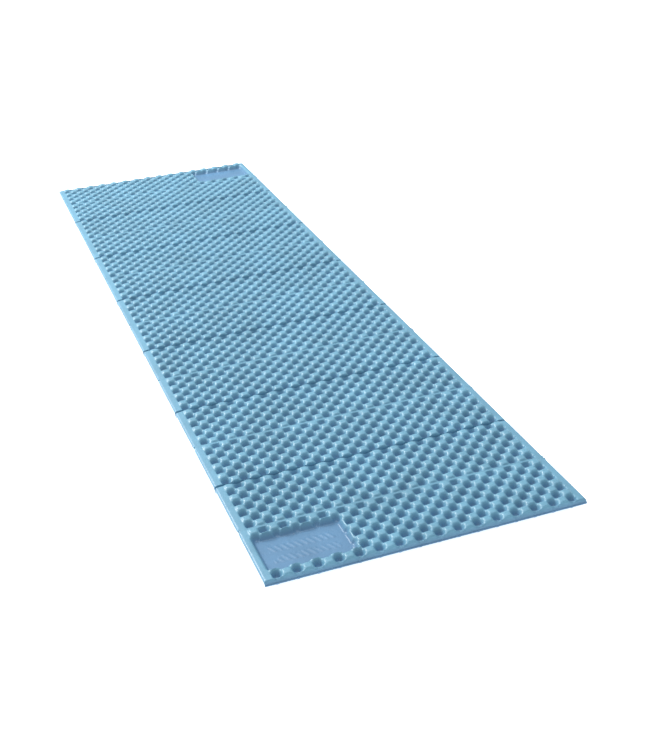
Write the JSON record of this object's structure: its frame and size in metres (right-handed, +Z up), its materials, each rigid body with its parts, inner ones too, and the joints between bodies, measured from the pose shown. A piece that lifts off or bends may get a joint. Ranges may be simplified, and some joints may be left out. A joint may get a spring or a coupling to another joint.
{
  "type": "folding foam sleeping pad",
  "caption": "Long closed-cell foam sleeping pad with an egg-crate surface that folds like an accordion into a compact block for carrying.",
  "frame": {"origin": "centre of the pad's footprint, on the ground it lies on", "axes": "+X across the pad, +Y along its length away from the end whose left corner has the name plate, +Z up"},
  "size_m": [0.51, 1.83, 0.02],
  "materials": {
    "foam": "moulded closed-cell foam, satin skin",
    "fold_web": "the same foam, pressed thin"
  },
  "bodies": {
    "section_01": {"panel_01": "foam", "hinge_web_01": "fold_web"},
    "section_02": {"panel_02": "foam", "hinge_web_02": "fold_web"},
    "section_03": {"panel_03": "foam", "hinge_web_03": "fold_web"},
    "section_04": {"panel_04": "foam", "hinge_web_04": "fold_web"},
    "section_05": {"panel_05": "foam", "hinge_web_05": "fold_web"},
    "section_06": {"panel_06": "foam", "hinge_web_06": "fold_web"},
    "section_07": {"panel_07": "foam", "hinge_web_07": "fold_web"},
    "section_08": {"panel_08": "foam", "hinge_web_08": "fold_web"},
    "section_09": {"panel_09": "foam", "hinge_web_09": "fold_web"},
    "section_10": {"panel_10": "foam", "hinge_web_10": "fold_web"},
    "section_11": {"panel_11": "foam", "hinge_web_11": "fold_web"},
    "section_12": {"panel_12": "foam", "hinge_web_12": "fold_web"},
    "section_13": {"panel_13": "foam", "hinge_web_13": "fold_web"},
    "section_14": {"panel_14": "foam"}
  },
  "joints": [
    {"name": "fold_01", "type": "hinge", "parent": "section_01", "child": "section_02", "pos_m": [0, -0.7824, 0.01735], "axis": [1, 0, 0], "range_deg": [0, 179.8], "deforming": ["hinge_web_01"]},
    {"name": "fold_02", "type": "hinge", "parent": "section_02", "child": "section_03", "pos_m": [0, -0.652, 0.0055], "axis": [-1, 0, 0], "range_deg": [0, 179.8], "deforming": ["hinge_web_02"]},
    {"name": "fold_03", "type": "hinge", "parent": "section_03", "child": "section_04", "pos_m": [0, -0.5216, 0.01735], "axis": [1, 0, 0], "range_deg": [0, 179.8], "deforming": ["hinge_web_03"]},
    {"name": "fold_04", "type": "hinge", "parent": "section_04", "child": "section_05", "pos_m": [0, -0.3912, 0.0055], "axis": [-1, 0, 0], "range_deg": [0, 179.8], "deforming": ["hinge_web_04"]},
    {"name": "fold_05", "type": "hinge", "parent": "section_05", "child": "section_06", "pos_m": [0, -0.2608, 0.01735], "axis": [1, 0, 0], "range_deg": [0, 179.8], "deforming": ["hinge_web_05"]},
    {"name": "fold_06", "type": "hinge", "parent": "section_06", "child": "section_07", "pos_m": [0, -0.1304, 0.0055], "axis": [-1, 0, 0], "range_deg": [0, 179.8], "deforming": ["hinge_web_06"]},
    {"name": "fold_07", "type": "hinge", "parent": "section_07", "child": "section_08", "pos_m": [0, 0, 0.01735], "axis": [1, 0, 0], "range_deg": [0, 179.8], "deforming": ["hinge_web_07"]},
    {"name": "fold_08", "type": "hinge", "parent": "section_08", "child": "section_09", "pos_m": [0, 0.1304, 0.0055], "axis": [-1, 0, 0], "range_deg": [0, 179.8], "deforming": ["hinge_web_08"]},
    {"name": "fold_09", "type": "hinge", "parent": "section_09", "child": "section_10", "pos_m": [0, 0.2608, 0.01735], "axis": [1, 0, 0], "range_deg": [0, 179.8], "deforming": ["hinge_web_09"]},
    {"name": "fold_10", "type": "hinge", "parent": "section_10", "child": "section_11", "pos_m": [0, 0.3912, 0.0055], "axis": [-1, 0, 0], "range_deg": [0, 179.8], "deforming": ["hinge_web_10"]},
    {"name": "fold_11", "type": "hinge", "parent": "section_11", "child": "section_12", "pos_m": [0, 0.5216, 0.01735], "axis": [1, 0, 0], "range_deg": [0, 179.8], "deforming": ["hinge_web_11"]},
    {"name": "fold_12", "type": "hinge", "parent": "section_12", "child": "section_13", "pos_m": [0, 0.652, 0.0055], "axis": [-1, 0, 0], "range_deg": [0, 179.8], "deforming": ["hinge_web_12"]},
    {"name": "fold_13", "type": "hinge", "parent": "section_13", "child": "section_14", "pos_m": [0, 0.7824, 0.01735], "axis": [1, 0, 0], "range_deg": [0, 179.8], "deforming": ["hinge_web_13"]}
  ],
  "couplings": [
    {"joint": "fold_02", "follows": "fold_01", "ratio": 1},
    {"joint": "fold_03", "follows": "fold_01", "ratio": 1},
    {"joint": "fold_04", "follows": "fold_01", "ratio": 1},
    {"joint": "fold_05", "follows": "fold_01", "ratio": 1},
    {"joint": "fold_06", "follows": "fold_01", "ratio": 1},
    {"joint": "fold_07", "follows": "fold_01", "ratio": 1},
    {"joint": "fold_08", "follows": "fold_01", "ratio": 1},
    {"joint": "fold_09", "follows": "fold_01", "ratio": 1},
    {"joint": "fold_10", "follows": "fold_01", "ratio": 1},
    {"joint": "fold_11", "follows": "fold_01", "ratio": 1},
    {"joint": "fold_12", "follows": "fold_01", "ratio": 1},
    {"joint": "fold_13", "follows": "fold_01", "ratio": 1}
  ]
}
